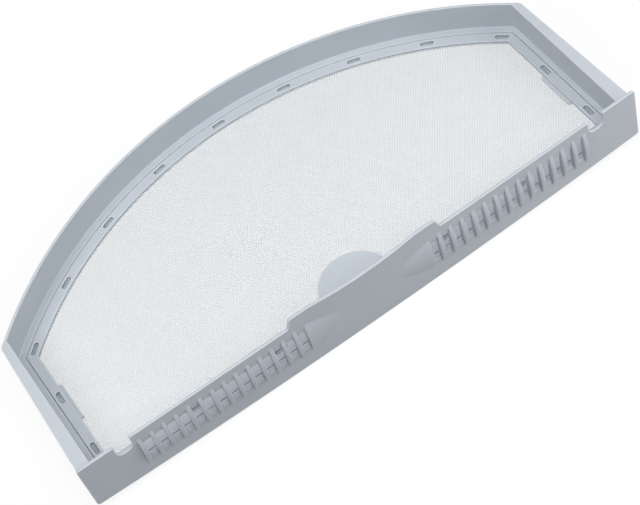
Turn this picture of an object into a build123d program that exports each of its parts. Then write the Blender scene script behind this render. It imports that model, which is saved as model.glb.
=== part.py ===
from build123d import *
from math import hypot, sqrt
import os

# Lint filter of a tumble dryer: a D-shaped tray with a handle plate along its straight side, a moulded
# ring seated in the tray's floor, and the woven screen that the ring holds by its edge.
# Millimetres. +X runs along the handle plate, +Y from the plate to the crown of the arc, +Z out of the
# open side of the tray. The origin is the middle of the bounding box's base.

# Handle plate, whose lower and upper edges both bow down towards the middle
plate_width = 440.0
plate_thickness = 2.4
plate_height = 52.5
plate_bow = 6.4
plate_dip = 2.2
plate_end_radius = 2.5
plate_edge_radius = 0.6
plate_back_radius = 0.9

# Thumb rise in the middle of the plate's upper edge, with a shallow dish between its shoulders
rise_width = 120.0
rise_height = 8.8
rise_slant = 2.8
rise_top_radius = 2.0
rise_foot_radius = 3.0
dish_width = 84.0
dish_depth = 4.0
dish_blend_radius = 40.0

# Notches near the two ends of the upper edge, with their depth from the height of the plate's ends
notch_spacing = 374.0
notch_width = 12.0
notch_depth = 12.6
notch_radius = 5.0
notch_lip_radius = 1.2

# Air grille: arched fins with an open window beside each one, in a group on both sides of the middle pad
fin_count = 14
fin_pitch = 9.165
fin_inner_offset = 57.35
fin_width = 3.2
fin_length = 31.5
fin_proud = 2.8
fin_edge_radius = 0.9
grille_height = 29.0
window_height = 19.1
sill_chamfer = 0.8
pad_width = 99.6
pad_fade_length = 27.0

# Tray walls and the slide rails along its straight sides
tray_depth = 210.4
side_length = 121.1
tray_inner_width = 419.0
wall_thickness = 2.0
wall_depth = 23.8
rim_drop = 9.3
rail_front_width = 10.2
rail_back_width = 6.1
rail_thickness = 2.2
rail_corner_radius = 5.0
rim_edge_radius = 0.6
wall_corner_radius = 3.0
wall_foot_radius = 1.2

# Ledge round the tray's floor, with the seat that is sunk into it
arc_ledge_width = 5.2
side_ledge_width = 4.0
front_ledge_width = 2.2
floor_thickness = 5.0
seat_lip_width = 4.0

# Ring that is moulded round the screen's edge
ring_thickness = 3.2
arc_ring_width = 8.2
side_ring_width = 7.5
front_ring_width = 11.9
ring_clearance = 0.3
seam_chamfer = 0.35
hold_window_length = 10.5
hold_window_width = 3.8
hold_window_radius = 1.85
arc_window_count = 9
arc_window_sweep = 84.4
side_window_offsets = (29.5, 77.7)
front_window_pitch = 66.5
front_window_count = 5
landing_radius = 27.0
landing_offset = 3.2
landing_rise = 0.8
tab_length = 32.2
tab_reach = 2.6
tab_corner_radius = 2.0
left_tab_offset = 71.5
right_tab_offset = 59.6

# Woven screen, drawn at a coarse pitch
screen_thickness = 0.4
screen_depth_in_ring = 1.5
screen_edge_inset = 1.3
warp_pitch = 4.0
warp_width = 1.6
weft_pitch = 20.0
weft_width = 1.6
weft_thickness = 0.4
weave_margin = 1.5
weft_margin = 0.7

# Levels
plate_front_y = -(tray_depth - fin_proud) / 2
plate_back_y = plate_front_y + plate_thickness
rim_z = plate_height - rim_drop
ledge_z = rim_z - wall_depth
seat_z = ledge_z - ring_thickness
floor_z = ledge_z - floor_thickness
screen_top_z = ledge_z - screen_depth_in_ring
screen_base_z = screen_top_z - screen_thickness
rise_foot_z = plate_height - plate_dip
rise_top_z = rise_foot_z + rise_height
notch_floor_z = plate_height - notch_depth
landing_z = screen_top_z + landing_rise

# The arc through the tray's two back corners and its crown
crown_y = plate_front_y + tray_depth
corner_half_width = tray_inner_width / 2 + rail_back_width
arc_height = tray_depth - side_length
arc_radius = (corner_half_width**2 + arc_height**2) / (2 * arc_height)
arc_centre_y = crown_y - arc_radius

# Half widths, radii and front edges of the outlines that lie inside each other
inner_half_width = tray_inner_width / 2
inner_radius = arc_radius - wall_thickness
seat_half_width = inner_half_width - side_ledge_width
seat_radius = inner_radius - arc_ledge_width
seat_front_y = plate_back_y + front_ledge_width
ring_half_width = seat_half_width - ring_clearance
ring_radius = seat_radius - ring_clearance
ring_front_y = seat_front_y + ring_clearance
opening_half_width = seat_half_width - side_ring_width
opening_radius = seat_radius - arc_ring_width
opening_front_y = seat_front_y + front_ring_width

# How close to its place a corner has to be to be picked
pick_tolerance = 0.01

fin_radius = ((fin_length / 2) ** 2 + fin_proud**2) / (2 * fin_proud)
group_middle = fin_inner_offset + fin_pitch * (fin_count - 1) / 2


def upper_edge_z(x):
    """Height of the plate's upper edge, which dips towards the middle."""
    return rise_foot_z + plate_dip * (2 * x / plate_width) ** 2


def tray_outline(z, front_y, half_width, radius, front_half_width=None, corner_radius=None):
    """A D-shaped face at height z: a straight front, two straight sides and the tray's arc.

    The corner radius is that of the two corners where the sides meet the arc.
    """
    front_half_width = front_half_width or half_width
    back_y = arc_centre_y + sqrt(radius**2 - half_width**2)
    with BuildSketch(Plane.XY.offset(z)) as outline:
        with BuildLine():
            Polyline(
                (-half_width, back_y),
                (-front_half_width, front_y),
                (front_half_width, front_y),
                (half_width, back_y),
            )
            ThreePointArc((half_width, back_y), (0, arc_centre_y + radius), (-half_width, back_y))
        make_face()
        if corner_radius:
            fillet(outline.vertices().filter_by(lambda v: v.Y > front_y + pick_tolerance), corner_radius)
    return outline.sketch


def screen_fittings(z):
    """The half-round landing behind the plate and the tab on each side rail, as one sketch at height z."""
    with BuildSketch(Plane.XY.offset(z)) as fittings:
        with Locations((0, opening_front_y + landing_offset)):
            Circle(landing_radius)
        for side, offset in ((-1, left_tab_offset), (1, right_tab_offset)):
            with Locations((side * opening_half_width, plate_front_y + offset)):
                RectangleRounded(2 * tab_reach, tab_length, tab_corner_radius)
        add(tray_outline(z, ring_front_y, ring_half_width, ring_radius), mode=Mode.INTERSECT)
    return fittings.sketch


def open_area(z, margin):
    """The ring's opening without its fittings, at height z and smaller all round by the margin."""
    with BuildSketch(Plane.XY.offset(z)) as area:
        add(
            tray_outline(
                z,
                opening_front_y + margin,
                opening_half_width - margin,
                opening_radius - margin,
            )
        )
        fittings_room = offset(screen_fittings(z), amount=margin, mode=Mode.PRIVATE)
        add(fittings_room, mode=Mode.SUBTRACT)
    return area.sketch


# Plate blank: outline with the bowed edges, the dished rise and the two notches
with BuildPart() as handle_plate:
    with BuildSketch(Plane.XZ.offset(-plate_front_y)) as plate_face:
        with BuildLine():
            half_width = plate_width / 2
            foot_x = rise_width / 2
            middle_x = (half_width + foot_x) / 2
            Line((half_width, plate_bow), (half_width, plate_height))
            upper_edge = ThreePointArc(
                (half_width, plate_height),
                (middle_x, upper_edge_z(middle_x)),
                (foot_x, upper_edge_z(foot_x)),
            )
            Polyline(upper_edge @ 1, (foot_x - rise_slant, rise_top_z), (dish_width / 2, rise_top_z))
            mirror(about=Plane.YZ)
            ThreePointArc((-half_width, plate_bow), (0, 0), (half_width, plate_bow))
            ThreePointArc(
                (dish_width / 2, rise_top_z),
                (0, rise_top_z - dish_depth),
                (-dish_width / 2, rise_top_z),
            )
        make_face()
        rounded_corners = {
            half_width: plate_end_radius,
            foot_x: rise_foot_radius,
            foot_x - rise_slant: rise_top_radius,
            dish_width / 2: dish_blend_radius,
        }
        for corner_x, radius in rounded_corners.items():
            corners = plate_face.vertices().filter_by(lambda v: abs(abs(v.X) - corner_x) < pick_tolerance)
            fillet(corners, radius)
        with GridLocations(notch_spacing, 1, 2, 1):
            with Locations((0, plate_height)):
                RectangleRounded(notch_width, 2 * notch_depth, notch_radius, mode=Mode.SUBTRACT)
        lips = plate_face.vertices().filter_by(
            lambda v: v.Y > rise_foot_z
            and abs(abs(abs(v.X) - notch_spacing / 2) - notch_width / 2) < pick_tolerance
        )
        fillet(lips, notch_lip_radius)
    extrude(amount=-plate_thickness)
    fillet(handle_plate.faces().sort_by(Axis.Y)[0].edges(), plate_edge_radius)
    upper_back_edges = handle_plate.faces().sort_by(Axis.Y)[-1].edges().filter_by(
        lambda e: e.center().Z > notch_floor_z - pick_tolerance
    )
    fillet(upper_back_edges, plate_back_radius)

    # One open window beside each fin, on the side of the middle pad, level with the ledge behind the plate
    with BuildSketch(Plane.XZ.offset(-plate_front_y)):
        window_width = fin_pitch - fin_width
        window_align = (Align.CENTER, Align.MIN)
        with GridLocations(2 * group_middle, 1, 2, 1):
            with GridLocations(fin_pitch, 1, fin_count - 1, 1):
                with Locations((0, ledge_z)):
                    Rectangle(window_width, window_height, align=window_align)
        inner_window_width = fin_inner_offset - fin_width / 2 - pad_width / 2
        with GridLocations(pad_width + inner_window_width, 1, 2, 1):
            with Locations((0, ledge_z)):
                Rectangle(inner_window_width, window_height, align=window_align)
    extrude(amount=-plate_thickness, mode=Mode.SUBTRACT)
    sills = handle_plate.edges().filter_by(Axis.X).filter_by(
        lambda e: abs(e.center().Y - plate_front_y) < pick_tolerance
        and abs(e.center().Z - ledge_z) < pick_tolerance
    )
    chamfer(sills, sill_chamfer)

# One fin: an arched front on a straight back that goes through the plate
with BuildPart() as fin:
    with BuildSketch(Plane.YZ):
        with BuildLine():
            fin_foot = grille_height - fin_length / 2
            fin_head = grille_height + fin_length / 2
            ThreePointArc(
                (plate_front_y, fin_foot),
                (plate_front_y - fin_proud, grille_height),
                (plate_front_y, fin_head),
            )
            Polyline(
                (plate_front_y, fin_head),
                (plate_back_y, fin_head),
                (plate_back_y, fin_foot),
                (plate_front_y, fin_foot),
            )
        make_face()
    extrude(amount=fin_width / 2, both=True)
    fillet(fin.edges().filter_by(GeomType.CIRCLE), fin_edge_radius)

# Right end of the middle pad: a leaning round bar that sinks into the plate towards the middle
with BuildPart() as pad_end:
    pad_half_width = pad_width / 2
    bar_lean = hypot(pad_fade_length, fin_proud) / pad_fade_length
    bar_plane = Plane(
        origin=(pad_half_width, plate_front_y - fin_proud + fin_radius * bar_lean, grille_height),
        x_dir=(0, 0, 1),
        z_dir=(pad_fade_length, -fin_proud, 0),
    )
    with BuildSketch(bar_plane):
        Circle(fin_radius)
    extrude(amount=hypot(pad_fade_length, fin_proud), both=True)
    with BuildSketch(Plane.XY.offset(grille_height - fin_radius)):
        with Locations((pad_half_width, plate_back_y)):
            Rectangle(
                pad_fade_length,
                plate_thickness + 2 * fin_proud,
                align=(Align.MAX, Align.MAX),
            )
    extrude(amount=2 * fin_radius, mode=Mode.INTERSECT)
    fillet(pad_end.faces().sort_by(Axis.X)[-1].edges().sort_by(Axis.Y)[0], fin_edge_radius)

# Tray and plate are one moulding
with BuildPart() as filter_frame:
    wall_half_width = inner_half_width + wall_thickness
    extrude(tray_outline(floor_z, plate_back_y, wall_half_width, arc_radius), amount=rim_z - floor_z)
    rail_half_width = inner_half_width + rail_front_width
    rails = tray_outline(
        rim_z - rail_thickness, plate_back_y, corner_half_width, arc_radius, rail_half_width
    )
    extrude(rails, amount=rail_thickness)
    rail_corners = filter_frame.edges().filter_by(Axis.Z).filter_by(
        lambda e: abs(abs(e.center().X) - corner_half_width) < pick_tolerance
    )
    fillet(rail_corners, rail_corner_radius)
    hollow = tray_outline(
        ledge_z,
        plate_back_y,
        inner_half_width,
        inner_radius,
        corner_radius=wall_corner_radius,
    )
    extrude(hollow, amount=wall_depth, mode=Mode.SUBTRACT)
    fillet(filter_frame.faces().filter_by(Axis.Z).sort_by(Axis.Z)[-1].edges(), rim_edge_radius)
    seat = tray_outline(
        seat_z,
        seat_front_y,
        seat_half_width,
        seat_radius,
        corner_radius=wall_corner_radius,
    )
    extrude(seat, amount=ring_thickness, mode=Mode.SUBTRACT)
    ledge_face = filter_frame.faces().filter_by(Axis.Z).filter_by(
        lambda f: abs(f.center().Z - ledge_z) < pick_tolerance
    )[0]
    wall_feet = ledge_face.outer_wire().edges().filter_by(
        lambda e: e.center().Y > plate_back_y + pick_tolerance
    )
    seat_rim = ledge_face.inner_wires()[0].edges()
    chamfer(seat_rim, seam_chamfer)
    fillet(wall_feet, wall_foot_radius)
    lip_outline = tray_outline(
        floor_z,
        seat_front_y + seat_lip_width,
        seat_half_width - seat_lip_width,
        seat_radius - seat_lip_width,
    )
    extrude(lip_outline, amount=seat_z - floor_z, mode=Mode.SUBTRACT)
    add(handle_plate.part)
    with GridLocations(2 * group_middle, 1, 2, 1):
        with GridLocations(fin_pitch, 1, fin_count, 1):
            add(fin.part)
    add(pad_end.part)
    add(mirror(pad_end.part, about=Plane.YZ, mode=Mode.PRIVATE))

# Screen sheet: the part inside the ring is plain, the rest is warp threads with open gaps between them,
# and weft threads that cross below
with BuildPart() as mesh_screen:
    sheet_outline = tray_outline(
        screen_base_z,
        ring_front_y + screen_edge_inset,
        ring_half_width - screen_edge_inset,
        ring_radius - screen_edge_inset,
    )
    extrude(sheet_outline, amount=screen_thickness)
    warp_count = int(2 * opening_half_width / warp_pitch)
    with BuildSketch(Plane.XY.offset(screen_base_z)) as gaps:
        with GridLocations(warp_pitch, 1, warp_count, 1):
            Rectangle(warp_pitch - warp_width, 2 * tray_depth)
        add(open_area(screen_base_z, weave_margin), mode=Mode.INTERSECT)
    extrude(gaps.sketch, amount=screen_thickness, mode=Mode.SUBTRACT)
    weft_count = int(tray_depth / weft_pitch)
    with BuildSketch(Plane.XY.offset(screen_base_z)) as wefts:
        with GridLocations(1, weft_pitch, 1, weft_count):
            Rectangle(plate_width, weft_width)
        add(open_area(screen_base_z, weft_margin), mode=Mode.INTERSECT)
    extrude(wefts.sketch, amount=-weft_thickness)

# Ring: a flat D-shaped loop with a landing and two tabs, moulded round the sheet's edge, with windows
# down to the sheet where the mould held it
with BuildPart() as screen_ring:
    ring_outline = tray_outline(
        seat_z,
        ring_front_y,
        ring_half_width,
        ring_radius,
        corner_radius=wall_corner_radius,
    )
    extrude(ring_outline, amount=ring_thickness)
    chamfer(screen_ring.faces().sort_by(Axis.Z)[-1].edges(), seam_chamfer)
    opening = tray_outline(seat_z, opening_front_y, opening_half_width, opening_radius)
    extrude(opening, amount=ring_thickness, mode=Mode.SUBTRACT)
    extrude(screen_fittings(seat_z), amount=landing_z - seat_z)
    extrude(sheet_outline, amount=screen_thickness, mode=Mode.SUBTRACT)
    with BuildSketch(Plane.XY.offset(screen_top_z)):
        with Locations((0, arc_centre_y)):
            with PolarLocations(
                (ring_radius + opening_radius) / 2,
                arc_window_count,
                start_angle=90 - arc_window_sweep / 2,
                angular_range=arc_window_sweep,
                endpoint=True,
            ):
                RectangleRounded(hold_window_width, hold_window_length, hold_window_radius)
        with GridLocations(ring_half_width + opening_half_width, 1, 2, 1):
            with Locations(*[(0, plate_front_y + offset) for offset in side_window_offsets]):
                RectangleRounded(hold_window_width, hold_window_length, hold_window_radius)
        with Locations((0, (ring_front_y + opening_front_y) / 2)):
            with GridLocations(front_window_pitch, 1, front_window_count, 1):
                RectangleRounded(hold_window_length, hold_window_width, hold_window_radius)
    extrude(amount=screen_depth_in_ring, mode=Mode.SUBTRACT)

os.makedirs("parts", exist_ok=True)
nodes = {"filter_frame": filter_frame, "screen_ring": screen_ring, "mesh_screen": mesh_screen}
for name, node in nodes.items():
    node.part.label = name
    export_step(node.part, f"parts/{name}.step")
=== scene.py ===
from math import asin, pi, sqrt

import bpy
from bpy.props import FloatProperty, FloatVectorProperty, IntProperty, PointerProperty
from mathutils import Matrix, Vector


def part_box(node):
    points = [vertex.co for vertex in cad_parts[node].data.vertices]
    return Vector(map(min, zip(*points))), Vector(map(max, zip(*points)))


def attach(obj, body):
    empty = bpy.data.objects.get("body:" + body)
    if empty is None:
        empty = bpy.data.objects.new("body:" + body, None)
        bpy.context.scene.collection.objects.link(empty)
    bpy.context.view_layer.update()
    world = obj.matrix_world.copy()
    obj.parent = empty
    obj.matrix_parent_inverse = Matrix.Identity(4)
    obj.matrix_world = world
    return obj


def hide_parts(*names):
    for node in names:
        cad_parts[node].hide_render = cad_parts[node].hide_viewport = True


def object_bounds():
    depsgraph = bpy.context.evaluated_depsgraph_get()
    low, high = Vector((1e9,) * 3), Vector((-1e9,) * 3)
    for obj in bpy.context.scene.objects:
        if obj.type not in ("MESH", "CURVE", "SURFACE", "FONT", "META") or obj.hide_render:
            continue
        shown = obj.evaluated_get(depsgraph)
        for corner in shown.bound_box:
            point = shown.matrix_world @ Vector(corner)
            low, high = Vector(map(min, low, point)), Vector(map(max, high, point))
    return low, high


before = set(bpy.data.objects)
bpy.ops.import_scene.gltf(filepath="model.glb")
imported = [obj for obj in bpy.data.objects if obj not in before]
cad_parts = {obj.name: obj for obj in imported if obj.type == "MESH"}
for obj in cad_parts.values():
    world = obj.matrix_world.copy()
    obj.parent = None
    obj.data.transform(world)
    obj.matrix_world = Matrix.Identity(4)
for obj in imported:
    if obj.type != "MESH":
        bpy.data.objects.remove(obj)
CAD_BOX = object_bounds()

bl_info = {
    "name": "Tumble Dryer Lint Filter",
    "version": (1, 0, 0),
    "blender": (4, 5, 0),
    "location": "View3D > Sidebar > Lint Filter",
    "description": "Dresses the moulded frame and ring, weaves the screen and lights the lint filter",
    "category": "Object",
}

WHITE = (1.0, 1.0, 1.0, 1.0)
SENSOR_WIDTH = 36.0


class MouldedPlasticLook(bpy.types.PropertyGroup):
    """Colours and finish of the two grey mouldings"""

    frame_colour: FloatVectorProperty(
        name="Frame colour",
        description="Colour of the tray and handle plate",
        subtype="COLOR",
        size=3,
        min=0.0,
        max=1.0,
        default=(0.440, 0.476, 0.519),
    )
    ring_colour: FloatVectorProperty(
        name="Ring colour",
        description="Colour of the ring that holds the screen",
        subtype="COLOR",
        size=3,
        min=0.0,
        max=1.0,
        default=(0.440, 0.476, 0.519),
    )
    grain_pitch: FloatProperty(
        name="Grain pitch",
        description="Width of one speck of the grain that the mould leaves",
        subtype="DISTANCE",
        unit="LENGTH",
        min=0.0001,
        max=0.005,
        default=0.0007,
        precision=5,
    )
    grain_depth: FloatProperty(
        name="Grain depth",
        description="How deep the grain is",
        subtype="DISTANCE",
        unit="LENGTH",
        min=0.0,
        max=0.0005,
        default=0.00003,
        precision=6,
    )
    flow_length: FloatProperty(
        name="Flow mark length",
        description="Length of the pale streaks along the way that the plastic flowed",
        subtype="DISTANCE",
        unit="LENGTH",
        min=0.01,
        max=1.0,
        default=0.12,
    )
    # The next four set the painted highlight along outer edges; the polish only lowers the roughness there
    highlight_reach: FloatProperty(
        name="Painted highlight width",
        description="How far from an outer edge the painted highlight reaches",
        subtype="DISTANCE",
        unit="LENGTH",
        min=0.0001,
        max=0.005,
        default=0.0007,
        precision=5,
    )
    highlight_colour: FloatVectorProperty(
        name="Painted highlight colour",
        description="Colour of the painted highlight on the outer edges",
        subtype="COLOR",
        size=3,
        min=0.0,
        max=1.0,
        default=(0.95, 0.97, 1.0),
    )
    highlight_strength: FloatProperty(
        name="Painted highlight strength",
        description="How far the painted highlight lightens the outer edges towards that colour",
        subtype="FACTOR",
        min=0.0,
        max=1.0,
        default=0.4,
    )
    edge_polish: FloatProperty(
        name="Highlighted edge polish",
        description="How much smoother than the rest the outer edges are",
        subtype="FACTOR",
        min=0.0,
        max=1.0,
        default=0.12,
    )
    # The next three set the painted shade in shut-in seams and corners
    shade_reach: FloatProperty(
        name="Painted shade reach",
        description="How close the plastic has to be all round for a place to look shut in",
        subtype="DISTANCE",
        unit="LENGTH",
        min=0.0001,
        max=0.02,
        default=0.0016,
        precision=5,
    )
    shade_colour: FloatVectorProperty(
        name="Painted shade colour",
        description="Colour of the painted shade in shut-in seams and corners",
        subtype="COLOR",
        size=3,
        min=0.0,
        max=1.0,
        default=(0.16, 0.18, 0.22),
    )
    shade_strength: FloatProperty(
        name="Painted shade strength",
        description="How far the painted shade darkens shut-in seams and corners towards that colour",
        subtype="FACTOR",
        min=0.0,
        max=1.0,
        default=0.7,
    )
    satin: FloatProperty(
        name="Satin roughness",
        description="Roughness of the satin finish",
        subtype="FACTOR",
        min=0.0,
        max=1.0,
        default=0.42,
    )
    gloss: FloatProperty(
        name="Gloss",
        description="Specular level of the plastic",
        subtype="FACTOR",
        min=0.0,
        max=1.0,
        default=0.45,
    )


class WovenScreenLook(bpy.types.PropertyGroup):
    """Sizes and colour of the woven screen"""

    warp_pitch: FloatProperty(
        name="Warp pitch",
        description="Distance between the threads that run away from the plate",
        subtype="DISTANCE",
        unit="LENGTH",
        min=0.0005,
        max=0.005,
        default=0.00108,
        precision=5,
    )
    weft_pitch: FloatProperty(
        name="Weft pitch",
        description="Distance between the threads that run along the plate",
        subtype="DISTANCE",
        unit="LENGTH",
        min=0.0005,
        max=0.005,
        default=0.00148,
        precision=5,
    )
    thread_diameter: FloatProperty(
        name="Thread diameter",
        description="Diameter of one nylon thread",
        subtype="DISTANCE",
        unit="LENGTH",
        min=0.0001,
        max=0.002,
        default=0.00048,
        precision=5,
    )
    thread_sides: IntProperty(
        name="Thread sides",
        description="Number of faces round one thread",
        min=4,
        max=12,
        default=6,
    )
    thread_colour: FloatVectorProperty(
        name="Thread colour",
        description="Colour of the nylon",
        subtype="COLOR",
        size=3,
        min=0.0,
        max=1.0,
        default=(0.935, 0.965, 0.99),
    )
    thread_roughness: FloatProperty(
        name="Thread roughness",
        description="Roughness of the nylon",
        subtype="FACTOR",
        min=0.0,
        max=1.0,
        default=0.4,
    )
    # Painted shade where a thread passes under another
    painted_dip_shade: FloatProperty(
        name="Painted dip shade",
        description="How much of its brightness a thread keeps in the painted shade where it passes under another",
        subtype="FACTOR",
        min=0.0,
        max=1.0,
        default=0.68,
    )
    soaked_colour: FloatVectorProperty(
        name="Soaked colour",
        description="Colour of the threads where the ring's plastic has soaked them",
        subtype="COLOR",
        size=3,
        min=0.0,
        max=1.0,
        default=(0.54, 0.585, 0.635),
    )
    arc_border: FloatProperty(
        name="Border at the arc",
        description="Width of the sheet's edge inside the ring along the arc",
        subtype="DISTANCE",
        unit="LENGTH",
        min=0.0,
        max=0.05,
        default=0.0066,
        precision=4,
    )
    side_border: FloatProperty(
        name="Border at the sides",
        description="Width of the sheet's edge inside the ring along the two sides",
        subtype="DISTANCE",
        unit="LENGTH",
        min=0.0,
        max=0.05,
        default=0.0059,
        precision=4,
    )
    front_border: FloatProperty(
        name="Border at the plate",
        description="Width of the sheet's edge inside the ring along the plate",
        subtype="DISTANCE",
        unit="LENGTH",
        min=0.0,
        max=0.05,
        default=0.0103,
        precision=4,
    )


class StudioLook(bpy.types.PropertyGroup):
    """Camera, lamps and floor"""

    camera_place: FloatVectorProperty(
        name="Camera place",
        description="Where the camera stands",
        subtype="TRANSLATION",
        unit="LENGTH",
        size=3,
        default=(-0.21107, -0.73266, 1.01656),
    )
    camera_right: FloatVectorProperty(
        name="Camera right",
        description="Direction of the picture's right side",
        subtype="DIRECTION",
        size=3,
        default=(0.81552, -0.54155, -0.20407),
    )
    camera_up: FloatVectorProperty(
        name="Camera up",
        description="Direction of the picture's upper side",
        subtype="DIRECTION",
        size=3,
        default=(0.55386, 0.62808, 0.54659),
    )
    camera_lens: FloatProperty(
        name="Camera lens",
        description=f"Focal length on a sensor {SENSOR_WIDTH:.0f} mm wide",
        unit="CAMERA",
        min=20.0,
        max=300.0,
        default=102.79,
    )
    top_power: FloatProperty(
        name="Top lamp",
        description="Power of the soft lamp over the tray",
        subtype="POWER",
        unit="POWER",
        min=0.0,
        max=200.0,
        default=10.3,
    )
    high_power: FloatProperty(
        name="High front lamp",
        description="Power of the soft lamp high in front of the plate",
        subtype="POWER",
        unit="POWER",
        min=0.0,
        max=200.0,
        default=9.4,
    )
    left_power: FloatProperty(
        name="Left lamp",
        description="Power of the soft lamp on the left",
        subtype="POWER",
        unit="POWER",
        min=0.0,
        max=200.0,
        default=13.0,
    )
    right_power: FloatProperty(
        name="Right lamp",
        description="Power of the soft lamp on the right",
        subtype="POWER",
        unit="POWER",
        min=0.0,
        max=200.0,
        default=9.6,
    )
    near_power: FloatProperty(
        name="Near lamp",
        description="Power of the small lamp by the plate's right end",
        subtype="POWER",
        unit="POWER",
        min=0.0,
        max=200.0,
        default=0.85,
    )
    back_power: FloatProperty(
        name="Back lamp",
        description="Power of the soft lamp behind the arc",
        subtype="POWER",
        unit="POWER",
        min=0.0,
        max=200.0,
        default=5.0,
    )
    room_light: FloatProperty(
        name="Room light",
        description="Strength of the even light from all round",
        min=0.0,
        max=2.0,
        default=0.06,
    )
    room_tint: FloatVectorProperty(
        name="Room tint",
        description="Colour of the even light from all round",
        subtype="COLOR",
        size=3,
        min=0.0,
        max=1.0,
        default=(0.85, 0.94, 1.0),
    )
    floor_size: FloatProperty(
        name="Floor size",
        description="Length of one side of the floor",
        subtype="DISTANCE",
        unit="LENGTH",
        min=1.0,
        max=50.0,
        default=12.0,
    )


def deselect_all():
    """Leaves nothing selected, in object mode."""
    if bpy.context.object and bpy.context.object.mode != "OBJECT":
        bpy.ops.object.mode_set(mode="OBJECT")
    bpy.ops.object.select_all(action="DESELECT")


def select_alone(piece):
    """Selects one piece and makes it the active one."""
    deselect_all()
    piece.select_set(True)
    bpy.context.view_layer.objects.active = piece


def apply_place(piece):
    """Moves the place of a new piece into its mesh."""
    select_alone(piece)
    bpy.ops.object.transform_apply(location=True, rotation=True, scale=True)


def apply_modifier(piece, modifier):
    """Applies one modifier of a piece."""
    select_alone(piece)
    bpy.ops.object.modifier_apply(modifier=modifier.name)


def new_group(name, inputs, outputs):
    """A shader node group with the named sockets, and its input and output nodes."""
    group = bpy.data.node_groups.new(name, "ShaderNodeTree")
    for socket, kind, value in inputs:
        made = group.interface.new_socket(name=socket, in_out="INPUT", socket_type=kind)
        made.default_value = value
    for socket, kind in outputs:
        group.interface.new_socket(name=socket, in_out="OUTPUT", socket_type=kind)
    return group, group.nodes.new("NodeGroupInput"), group.nodes.new("NodeGroupOutput")


def add_group(tree, group, values):
    """A node of a shared group with its inputs set, and the node's outputs."""
    node = tree.nodes.new("ShaderNodeGroup")
    node.node_tree = group
    for socket, value in values.items():
        node.inputs[socket].default_value = value
    return node.outputs


def set_or_link(tree, socket, value):
    """Gives an input a plain value or a link from an output."""
    if isinstance(value, bpy.types.NodeSocket):
        tree.links.new(value, socket)
    else:
        socket.default_value = value


def math_node(tree, operation, *values):
    """A Math node on sockets or numbers, and its result."""
    node = tree.nodes.new("ShaderNodeMath")
    node.operation = operation
    for socket, value in zip(node.inputs, values):
        set_or_link(tree, socket, value)
    return node.outputs[0]


def noise_node(tree, vector, scale, detail):
    """A Noise Texture on a vector, and its value from 0 to 1."""
    node = tree.nodes.new("ShaderNodeTexNoise")
    node.inputs["Detail"].default_value = detail
    tree.links.new(vector, node.inputs["Vector"])
    tree.links.new(scale, node.inputs["Scale"])
    return node.outputs["Fac"]


def mix_colours(tree, factor, first, second, blend="MIX"):
    """A Mix node on two colours, and its result."""
    node = tree.nodes.new("ShaderNodeMix")
    node.data_type = "RGBA"
    node.blend_type = blend
    node.clamp_factor = True
    set_or_link(tree, node.inputs["Factor"], factor)
    set_or_link(tree, node.inputs["A"], first)
    set_or_link(tree, node.inputs["B"], second)
    return node.outputs["Result"]


def add_bump(tree, surface, height, distance):
    """Bumps a surface by a height socket, whose value of 1 stands for the distance."""
    bump = tree.nodes.new("ShaderNodeBump")
    bump.inputs["Distance"].default_value = distance
    tree.links.new(height, bump.inputs["Height"])
    tree.links.new(bump.outputs["Normal"], surface.inputs["Normal"])


def moulding_group():
    """Grain, flow marks and tint of a satin moulding. Built once."""
    name = "Moulded Finish"
    if name in bpy.data.node_groups:
        return bpy.data.node_groups[name]
    inputs = (
        ("Colour", "NodeSocketColor", (0.5, 0.5, 0.5, 1.0)),
        ("Grain Scale", "NodeSocketFloat", 1400.0),
        ("Flow Scale", "NodeSocketFloat", 8.0),
        ("Roughness", "NodeSocketFloat", 0.42),
    )
    outputs = (
        ("Colour", "NodeSocketColor"),
        ("Roughness", "NodeSocketFloat"),
        ("Grain", "NodeSocketFloat"),
    )
    group, given, result = new_group(name, inputs, outputs)
    grain_detail = 2.0
    place = group.nodes.new("ShaderNodeTexCoord").outputs["Object"]
    grain = noise_node(group, place, given.outputs["Grain Scale"], grain_detail)

    # The flow marks are longer along the plate than across it
    flow_detail = 3.0
    stretch = group.nodes.new("ShaderNodeMapping")
    stretch.inputs["Scale"].default_value = (1.0, 3.0, 3.0)
    group.links.new(place, stretch.inputs["Vector"])
    flow = noise_node(group, stretch.outputs["Vector"], given.outputs["Flow Scale"], flow_detail)

    pale_share = 0.10
    deep_share = 0.06
    deep_colour = (0.10, 0.14, 0.20, 1.0)
    pale = mix_colours(group, pale_share, given.outputs["Colour"], WHITE)
    deep = mix_colours(group, deep_share, given.outputs["Colour"], deep_colour)
    tint = mix_colours(group, flow, deep, pale)

    speck_spread = 0.08
    speck_lowest = 0.96
    speck = math_node(group, "MULTIPLY_ADD", grain, speck_spread, speck_lowest)
    shade = group.nodes.new("ShaderNodeCombineColor")
    for channel in shade.inputs:
        group.links.new(speck, channel)
    colour = mix_colours(group, 1.0, tint, shade.outputs["Color"], "MULTIPLY")
    group.links.new(colour, result.inputs["Colour"])

    rough_spread = 0.12
    rough_lowest = math_node(group, "SUBTRACT", given.outputs["Roughness"], rough_spread / 2)
    rough = math_node(group, "MULTIPLY_ADD", flow, rough_spread, rough_lowest)
    group.links.new(rough, result.inputs["Roughness"])
    group.links.new(grain, result.inputs["Grain"])
    return group


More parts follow.
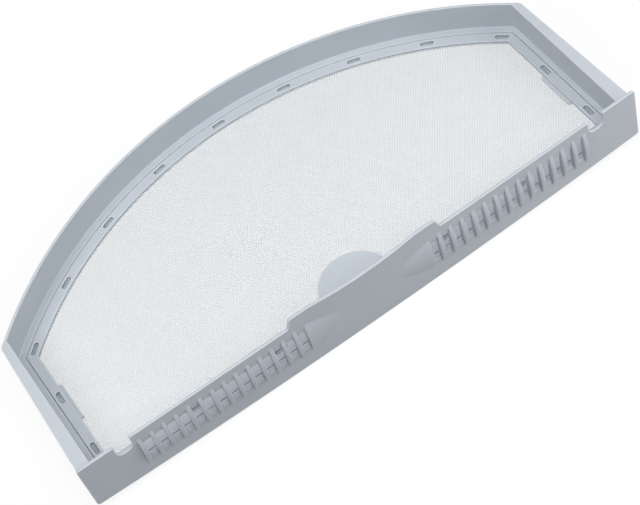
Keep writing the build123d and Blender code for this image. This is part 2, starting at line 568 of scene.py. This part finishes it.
def closeness_group(name, inside, start, gain):
    """How much surface lies close to a place, within the solid or outside it, from 0 to 1. Built once."""
    if name in bpy.data.node_groups:
        return bpy.data.node_groups[name]
    inputs = (("Reach", "NodeSocketFloat", 0.001),)
    group, given, result = new_group(name, inputs, (("Share", "NodeSocketFloat"),))
    around = group.nodes.new("ShaderNodeAmbientOcclusion")
    around.inside = inside
    around.only_local = inside
    around.samples = 8
    group.links.new(given.outputs["Reach"], around.inputs["Distance"])
    near = math_node(group, "SUBTRACT", start, around.outputs["AO"])
    share = math_node(group, "MULTIPLY", near, gain)
    share.node.use_clamp = True
    group.links.new(share, result.inputs["Share"])
    return group


def edge_highlight_group():
    """How close a place lies to an outer edge, from 0 to 1; it masks the painted edge highlight."""
    return closeness_group("Rubbed Edges", inside=True, start=1.0, gain=3.0)


def painted_shade_group():
    """How far a place is shut in by what lies close to it, from 0 to 1; it masks the painted shade in seams
    and corners.
    """
    return closeness_group("Sheltered Seams", inside=False, start=0.92, gain=1.8)


def split_place(tree):
    """The X, Y and Z sockets of the place on the piece."""
    place = tree.nodes.new("ShaderNodeTexCoord").outputs["Object"]
    split = tree.nodes.new("ShaderNodeSeparateXYZ")
    tree.links.new(place, split.inputs["Vector"])
    return split.outputs


def crossing_group():
    """How far a thread rises over the one that it crosses, from -1 to 1. Built once."""
    name = "Thread Crossing"
    if name in bpy.data.node_groups:
        return bpy.data.node_groups[name]
    inputs = (
        ("Warp Turns", "NodeSocketFloat", 1.0),
        ("Weft Turns", "NodeSocketFloat", 1.0),
        ("Side", "NodeSocketFloat", 1.0),
    )
    group, given, result = new_group(name, inputs, (("Rise", "NodeSocketFloat"),))
    split = split_place(group)
    warp_turn = math_node(group, "MULTIPLY", split["X"], given.outputs["Warp Turns"])
    weft_turn = math_node(group, "MULTIPLY", split["Y"], given.outputs["Weft Turns"])
    across = math_node(group, "COSINE", warp_turn)
    along = math_node(group, "COSINE", weft_turn)
    wave = math_node(group, "MULTIPLY", across, along)
    rise = math_node(group, "MULTIPLY", wave, given.outputs["Side"])
    group.links.new(rise, result.inputs["Rise"])
    return group


def border_group():
    """1 on the sheet's edge that lies in the ring, 0 in the opening. Built once."""
    name = "Moulded Border"
    if name in bpy.data.node_groups:
        return bpy.data.node_groups[name]
    inputs = (
        ("Half Width", "NodeSocketFloat", 1.0),
        ("Front", "NodeSocketFloat", -1.0),
        ("Arc Centre", "NodeSocketFloat", 0.0),
        ("Arc Radius", "NodeSocketFloat", 1.0),
    )
    group, given, result = new_group(name, inputs, (("Border", "NodeSocketFloat"),))
    split = split_place(group)
    width = math_node(group, "ABSOLUTE", split["X"])
    beside = math_node(group, "SUBTRACT", width, given.outputs["Half Width"])
    before = math_node(group, "SUBTRACT", given.outputs["Front"], split["Y"])
    depth = math_node(group, "SUBTRACT", split["Y"], given.outputs["Arc Centre"])
    width_squared = math_node(group, "POWER", width, 2.0)
    depth_squared = math_node(group, "POWER", depth, 2.0)
    reach = math_node(group, "SQRT", math_node(group, "ADD", width_squared, depth_squared))
    beyond = math_node(group, "SUBTRACT", reach, given.outputs["Arc Radius"])
    most = math_node(group, "MAXIMUM", math_node(group, "MAXIMUM", beside, before), beyond)
    group.links.new(math_node(group, "GREATER_THAN", most, 0.0), result.inputs["Border"])
    return group


def new_material(name):
    """A material with only a Principled BSDF, its tree and that node."""
    material = bpy.data.materials.new(name)
    material.use_nodes = True
    tree = material.node_tree
    return material, tree, tree.nodes["Principled BSDF"]


def moulded_plastic(name, colour, look):
    """Satin moulded plastic of one colour, with a painted highlight on its outer edges and painted shade in
    its seams and corners.
    """
    material, tree, surface = new_material(name)
    finish_values = {
        "Colour": (*colour, 1.0),
        "Grain Scale": 1.0 / look.grain_pitch,
        "Flow Scale": 1.0 / look.flow_length,
        "Roughness": look.satin,
    }
    finish = add_group(tree, moulding_group(), finish_values)
    highlight_mask = add_group(tree, edge_highlight_group(), {"Reach": look.highlight_reach})
    shade_mask = add_group(tree, painted_shade_group(), {"Reach": look.shade_reach})
    # Painted highlight: outer edges, except shut-in seams, are lightened towards the highlight colour and
    # made a little smoother
    edge = math_node(tree, "SUBTRACT", highlight_mask["Share"], shade_mask["Share"])
    edge.node.use_clamp = True
    paler = math_node(tree, "MULTIPLY", edge, look.highlight_strength)
    highlighted = mix_colours(tree, paler, finish["Colour"], (*look.highlight_colour, 1.0))
    # Painted shade: shut-in seams and corners are darkened towards the shade colour
    shade_share = math_node(tree, "MULTIPLY", shade_mask["Share"], look.shade_strength)
    shade = mix_colours(tree, shade_share, highlighted, (*look.shade_colour, 1.0))
    tree.links.new(shade, surface.inputs["Base Color"])
    smoother = math_node(tree, "MULTIPLY", edge, look.edge_polish)
    satin = math_node(tree, "SUBTRACT", finish["Roughness"], smoother)
    tree.links.new(satin, surface.inputs["Roughness"])
    add_bump(tree, surface, finish["Grain"], look.grain_depth)
    surface.inputs["Specular IOR Level"].default_value = look.gloss
    return material


def nylon_thread(name, side, outline, look):
    """White nylon thread, with painted shade where it passes under its neighbour, and grey where the ring's
    plastic is.
    """
    material, tree, surface = new_material(name)
    crossing_values = {
        "Warp Turns": pi / look.warp_pitch,
        "Weft Turns": pi / look.weft_pitch,
        "Side": side,
    }
    crossing = add_group(tree, crossing_group(), crossing_values)
    border_values = {
        "Half Width": outline.half_width - look.side_border,
        "Front": outline.front + look.front_border,
        "Arc Centre": outline.centre,
        "Arc Radius": outline.radius - look.arc_border,
    }
    border = add_group(tree, border_group(), border_values)
    # The rise goes from -1 to 1, and the share of the upper colour from 0 to 1
    over = math_node(tree, "MULTIPLY_ADD", crossing["Rise"], 0.5, 0.5)
    top = (*look.thread_colour, 1.0)
    # The under colour is painted shade where a thread passes under its neighbour; the straight threads
    # don't really dip
    under = (*(look.painted_dip_shade * value for value in look.thread_colour), 1.0)
    nylon = mix_colours(tree, over, under, top)
    shade = mix_colours(tree, border["Border"], nylon, (*look.soaked_colour, 1.0))
    tree.links.new(shade, surface.inputs["Base Color"])
    rise_height = look.thread_diameter / 4
    add_bump(tree, surface, crossing["Rise"], rise_height)
    surface.inputs["Roughness"].default_value = look.thread_roughness
    return material


def dress_node(node_name, material):
    """Gives a CAD node its material."""
    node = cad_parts[node_name]
    for slot in node.material_slots:
        slot.material = material
    if not node.material_slots:
        node.data.materials.append(material)


class ScreenOutline:
    """The D-shaped outline of the screen's sheet, read from its CAD node."""

    def __init__(self):
        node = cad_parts["mesh_screen"]
        low, high = (Vector(corner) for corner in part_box("mesh_screen"))
        self.half_width = high.x
        self.front = low.y
        self.crown = high.y
        self.top = high.z
        side_tolerance = 1e-5
        edge = [v.co for v in node.data.vertices if v.co.x > self.half_width - side_tolerance]
        self.corner = max(co.y for co in edge)
        rise = self.crown - self.corner
        self.radius = (self.half_width**2 + rise**2) / (2 * rise)
        self.centre = self.crown - self.radius


def outline_block(outline, thickness):
    """A block with the screen's outline, to trim the threads with."""
    circle_sides = 256
    deselect_all()
    bpy.ops.mesh.primitive_cylinder_add(
        vertices=circle_sides,
        radius=outline.radius,
        depth=thickness,
        location=(0.0, outline.centre, outline.top),
    )
    block = bpy.context.object
    apply_place(block)
    bpy.ops.object.mode_set(mode="EDIT")
    cuts = (
        ((outline.half_width, 0.0, 0.0), (1.0, 0.0, 0.0)),
        ((-outline.half_width, 0.0, 0.0), (-1.0, 0.0, 0.0)),
        ((0.0, outline.front, 0.0), (0.0, -1.0, 0.0)),
    )
    for point, outward in cuts:
        bpy.ops.mesh.select_all(action="SELECT")
        bpy.ops.mesh.bisect(plane_co=point, plane_no=outward, use_fill=True, clear_outer=True)
    bpy.ops.object.mode_set(mode="OBJECT")
    return block


def thread_layer(name, turn, start, step, count, length, block, look):
    """One layer of straight threads side by side, trimmed to the outline block."""
    smooth_angle = pi / 3
    deselect_all()
    bpy.ops.mesh.primitive_cylinder_add(
        vertices=look.thread_sides,
        radius=look.thread_diameter / 2,
        depth=length,
        location=start,
        rotation=turn,
    )
    layer = bpy.context.object
    layer.name = name
    apply_place(layer)
    bpy.ops.object.shade_smooth_by_angle(angle=smooth_angle)
    repeat = layer.modifiers.new("Side by side", "ARRAY")
    repeat.use_relative_offset = False
    repeat.use_constant_offset = True
    repeat.constant_offset_displace = step
    repeat.count = count
    apply_modifier(layer, repeat)
    trim = layer.modifiers.new("Trim", "BOOLEAN")
    trim.operation = "INTERSECT"
    trim.solver = "EXACT"
    trim.object = block
    apply_modifier(layer, trim)
    return layer


class LINT_FILTER_OT_mould_frame(bpy.types.Operator):
    """Gives the tray and its handle plate the satin grey plastic"""

    bl_idname = "lint_filter.mould_frame"
    bl_label = "Mould Frame"

    def execute(self, context):
        look = context.scene.lint_filter_plastic
        dress_node("filter_frame", moulded_plastic("Frame Plastic", look.frame_colour, look))
        return {"FINISHED"}


class LINT_FILTER_OT_mould_ring(bpy.types.Operator):
    """Gives the ring round the screen its plastic"""

    bl_idname = "lint_filter.mould_ring"
    bl_label = "Mould Ring"

    def execute(self, context):
        look = context.scene.lint_filter_plastic
        dress_node("screen_ring", moulded_plastic("Ring Plastic", look.ring_colour, look))
        return {"FINISHED"}


class LINT_FILTER_OT_weave_screen(bpy.types.Operator):
    """Weaves the screen from two layers of nylon threads, cut to the ring's outline"""

    bl_idname = "lint_filter.weave_screen"
    bl_label = "Weave Screen"

    def execute(self, context):
        look = context.scene.lint_filter_weave
        outline = ScreenOutline()
        # The layers sink into each other where they cross, and are made too long and then trimmed
        lift = 0.3 * look.thread_diameter
        spare_length = 1.1
        block_thickness = 20 * look.thread_diameter
        middle = outline.top - look.thread_diameter / 2
        block = outline_block(outline, block_thickness)
        warp_half = int(outline.half_width / look.warp_pitch)
        warp = thread_layer(
            "warp_threads",
            (pi / 2, 0.0, 0.0),
            (-warp_half * look.warp_pitch, (outline.front + outline.crown) / 2, middle + lift),
            (look.warp_pitch, 0.0, 0.0),
            2 * warp_half + 1,
            spare_length * (outline.crown - outline.front),
            block,
            look,
        )
        first = int(outline.front / look.weft_pitch)
        last = int(outline.crown / look.weft_pitch)
        weft = thread_layer(
            "weft_threads",
            (0.0, pi / 2, 0.0),
            (0.0, first * look.weft_pitch, middle - lift),
            (0.0, look.weft_pitch, 0.0),
            last - first + 1,
            spare_length * 2 * outline.half_width,
            block,
            look,
        )
        bpy.data.objects.remove(block)
        warp.data.materials.append(nylon_thread("Warp Nylon", 1.0, outline, look))
        weft.data.materials.append(nylon_thread("Weft Nylon", -1.0, outline, look))
        deselect_all()
        weft.select_set(True)
        warp.select_set(True)
        context.view_layer.objects.active = warp
        bpy.ops.object.join()
        screen = context.object
        screen.name = "woven_screen"
        screen.data.name = "woven_screen"
        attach(screen, "root")
        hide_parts("mesh_screen")
        return {"FINISHED"}


class LINT_FILTER_OT_set_stage(bpy.types.Operator):
    """Sets up the pale floor, the soft lamps and the camera"""

    bl_idname = "lint_filter.set_stage"
    bl_label = "Set Stage"

    def execute(self, context):
        look = context.scene.lint_filter_studio
        self.lay_floor(look)
        self.light_room(context.scene, look)
        lamps = (
            ("Top Lamp", (-0.2, 0.05, 1.7), 1.2, look.top_power, (1.0, 0.97, 0.96)),
            ("High Front Lamp", (0.0, -0.9, 1.5), 1.2, look.high_power, (0.86, 0.96, 1.0)),
            ("Left Lamp", (-1.2, -0.35, 1.2), 0.9, look.left_power, (1.0, 1.0, 1.0)),
            ("Right Lamp", (1.2, -0.6, 1.0), 0.9, look.right_power, (1.0, 0.97, 0.95)),
            ("Near Lamp", (0.5, -0.45, 0.2), 0.3, look.near_power, (1.0, 0.97, 0.98)),
            ("Back Lamp", (0.3, 1.5, 0.6), 0.9, look.back_power, (1.0, 1.0, 1.0)),
        )
        for name, place, size, power, tint in lamps:
            self.place_lamp(name, place, size, power, tint)
        self.place_camera(context.scene, look)
        context.scene.view_settings.view_transform = "Standard"
        return {"FINISHED"}

    def lay_floor(self, look):
        """A floor that looks white, throws back less light than that and shows the object's shadow."""
        gap_below = 0.0002
        seen_colour = (0.9, 0.9, 0.9, 1.0)
        unseen_colour = (0.35, 0.35, 0.35, 1.0)
        glow_share = 0.85
        deselect_all()
        floor_z = CAD_BOX[0][2] - gap_below
        bpy.ops.mesh.primitive_plane_add(size=look.floor_size, location=(0.0, 0.0, floor_z))
        floor = bpy.context.object
        floor.name = "studio_floor"
        apply_place(floor)
        material = bpy.data.materials.new("Pale Floor")
        material.use_nodes = True
        tree = material.node_tree
        tree.nodes.clear()
        seen = self.seen(tree)
        paint = tree.nodes.new("ShaderNodeBsdfDiffuse")
        shades = mix_colours(tree, seen, unseen_colour, seen_colour)
        tree.links.new(shades, paint.inputs["Color"])
        glow = tree.nodes.new("ShaderNodeEmission")
        mix = tree.nodes.new("ShaderNodeMixShader")
        tree.links.new(math_node(tree, "MULTIPLY", seen, glow_share), mix.inputs[0])
        tree.links.new(paint.outputs[0], mix.inputs[1])
        tree.links.new(glow.outputs[0], mix.inputs[2])
        tree.links.new(mix.outputs[0], tree.nodes.new("ShaderNodeOutputMaterial").inputs["Surface"])
        floor.data.materials.append(material)

    def light_room(self, scene, look):
        """Weak even light from all round, with a white backdrop."""
        world = bpy.data.worlds.new("Pale Room")
        world.use_nodes = True
        scene.world = world
        tree = world.node_tree
        even = tree.nodes["Background"]
        even.inputs["Color"].default_value = (*look.room_tint, 1.0)
        even.inputs["Strength"].default_value = look.room_light
        backdrop = tree.nodes.new("ShaderNodeBackground")
        backdrop.inputs["Color"].default_value = WHITE
        mix = tree.nodes.new("ShaderNodeMixShader")
        tree.links.new(self.seen(tree), mix.inputs[0])
        tree.links.new(even.outputs[0], mix.inputs[1])
        tree.links.new(backdrop.outputs[0], mix.inputs[2])
        tree.links.new(mix.outputs[0], tree.nodes["World Output"].inputs["Surface"])

    def seen(self, tree):
        """1 where a ray comes from the camera, a reflection or through glass, otherwise 0."""
        path = tree.nodes.new("ShaderNodeLightPath")
        camera, glossy, through = (
            path.outputs[f"Is {kind} Ray"] for kind in ("Camera", "Glossy", "Transmission")
        )
        return math_node(tree, "MAXIMUM", camera, math_node(tree, "MAXIMUM", glossy, through))

    def place_lamp(self, name, place, size, power, tint):
        """A round soft lamp that is turned to the middle of the filter."""
        deselect_all()
        bpy.ops.object.light_add(type="AREA", location=place)
        lamp = bpy.context.object
        lamp.name = name
        lamp.data.shape = "DISK"
        lamp.data.size = size
        lamp.data.energy = power
        lamp.data.color = tint
        lamp.rotation_euler = Vector(place).to_track_quat("Z", "Y").to_euler()

    def place_camera(self, scene, look):
        """The camera at the photograph's angle."""
        deselect_all()
        bpy.ops.object.camera_add()
        camera = bpy.context.object
        camera.name = "Studio Camera"
        right = Vector(look.camera_right).normalized()
        up = Vector(look.camera_up)
        up = (up - right * up.dot(right)).normalized()
        turn = Matrix((right, up, right.cross(up))).transposed().to_4x4()
        camera.matrix_world = Matrix.Translation(look.camera_place) @ turn
        camera.data.sensor_fit = "HORIZONTAL"
        camera.data.sensor_width = SENSOR_WIDTH
        camera.data.lens = look.camera_lens
        camera.data.clip_start = 0.01
        scene.camera = camera


class LINT_FILTER_PT_sidebar(bpy.types.Panel):
    """Lists the steps that dress the lint filter"""

    bl_idname = "LINT_FILTER_PT_sidebar"
    bl_label = "Lint Filter"
    bl_space_type = "VIEW_3D"
    bl_region_type = "UI"
    bl_category = "Lint Filter"

    def draw(self, context):
        scene = context.scene
        steps = (
            (scene.lint_filter_plastic, (LINT_FILTER_OT_mould_frame, LINT_FILTER_OT_mould_ring)),
            (scene.lint_filter_weave, (LINT_FILTER_OT_weave_screen,)),
            (scene.lint_filter_studio, (LINT_FILTER_OT_set_stage,)),
        )
        for look, operators in steps:
            box = self.layout.box()
            for name in look.bl_rna.properties.keys():
                if name not in {"rna_type", "name"}:
                    box.prop(look, name)
            for operator in operators:
                box.operator(operator.bl_idname)


CLASSES = (
    MouldedPlasticLook,
    WovenScreenLook,
    StudioLook,
    LINT_FILTER_OT_mould_frame,
    LINT_FILTER_OT_mould_ring,
    LINT_FILTER_OT_weave_screen,
    LINT_FILTER_OT_set_stage,
    LINT_FILTER_PT_sidebar,
)


def register():
    for cls in CLASSES:
        bpy.utils.register_class(cls)
    bpy.types.Scene.lint_filter_plastic = PointerProperty(type=MouldedPlasticLook)
    bpy.types.Scene.lint_filter_weave = PointerProperty(type=WovenScreenLook)
    bpy.types.Scene.lint_filter_studio = PointerProperty(type=StudioLook)


def unregister():
    del bpy.types.Scene.lint_filter_studio
    del bpy.types.Scene.lint_filter_weave
    del bpy.types.Scene.lint_filter_plastic
    for cls in reversed(CLASSES):
        bpy.utils.unregister_class(cls)


def main():
    register()
    bpy.ops.lint_filter.mould_frame()
    bpy.ops.lint_filter.mould_ring()
    bpy.ops.lint_filter.weave_screen()
    bpy.ops.lint_filter.set_stage()


if __name__ == "__main__":
    main()
